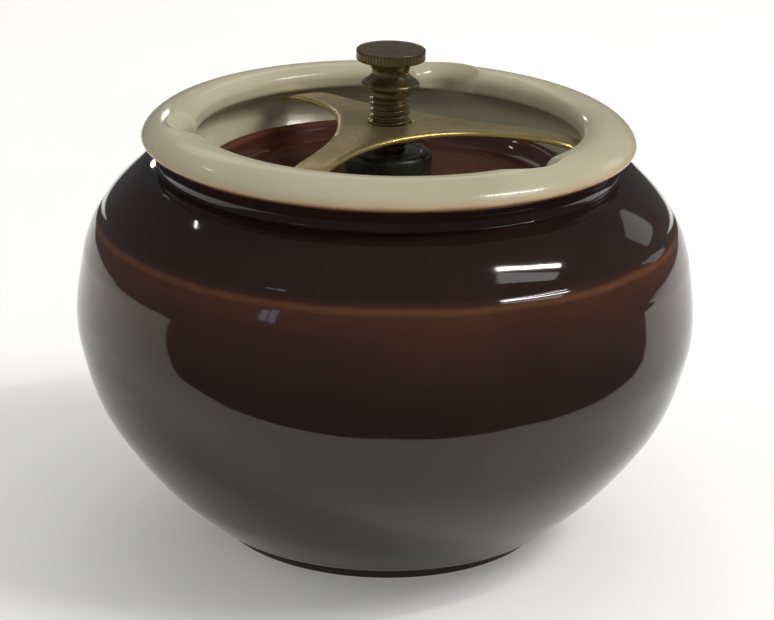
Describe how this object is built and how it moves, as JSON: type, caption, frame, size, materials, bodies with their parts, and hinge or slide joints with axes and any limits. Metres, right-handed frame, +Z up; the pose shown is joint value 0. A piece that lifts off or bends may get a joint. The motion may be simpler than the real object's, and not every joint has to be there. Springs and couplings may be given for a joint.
{
  "type": "clamp-lid ceramic crock",
  "caption": "Squat round glazed stoneware crock whose lid is clamped airtight under the lip by a three-armed brass spider with a knurled thumb screw.",
  "frame": {"origin": "centre of the foot ring, on the surface the crock stands on", "axes": "+Z up along the crock's own axis; +X to the viewer's right when the front faces -Y; the first spider arm points along +X"},
  "size_m": [0.1552, 0.1552, 0.1227],
  "materials": {
    "crock_glaze": "glossy dark brown glaze outside, cream glaze on the lip and inside",
    "lid_glaze": "glossy red-brown glaze",
    "gasket_rubber": "matt black rubber",
    "boss_black": "worn satin black moulding",
    "insert_brass": "turned brass",
    "steel": "plain steel",
    "washer_rubber": "matt rubber",
    "spider_brass": "satin brass with polished edges",
    "screw_brass": "aged, dulled brass"
  },
  "bodies": {
    "crock": {"crock_body": "crock_glaze"},
    "clamp": {"clamp_spider": "spider_brass"},
    "lid": {"lid": "lid_glaze", "lid_gasket": "gasket_rubber", "thrust_boss": "boss_black", "thrust_insert": "insert_brass", "fixing_screw": "steel", "fixing_washer": "washer_rubber"},
    "screw": {"thumb_screw": "screw_brass", "retaining_clip": "steel"}
  },
  "joints": [
    {"name": "clamp_turn", "type": "hinge", "parent": "crock", "child": "clamp", "pos_m": [0, 0, 0.1], "axis": [0, 0, 1], "range_deg": [-49, 71]},
    {"name": "lid_rise", "type": "slide", "parent": "clamp", "child": "lid", "axis": [0, 0, 1], "range_m": [0, 0.003]},
    {"name": "screw_turn", "type": "hinge", "parent": "lid", "child": "screw", "pos_m": [0, 0, 0.1], "axis": [0, 0, 1], "range_deg": [0, 720]}
  ],
  "couplings": [
    {"joint": "screw_turn", "follows": "lid_rise", "rad_per_m": 4188.8}
  ]
}
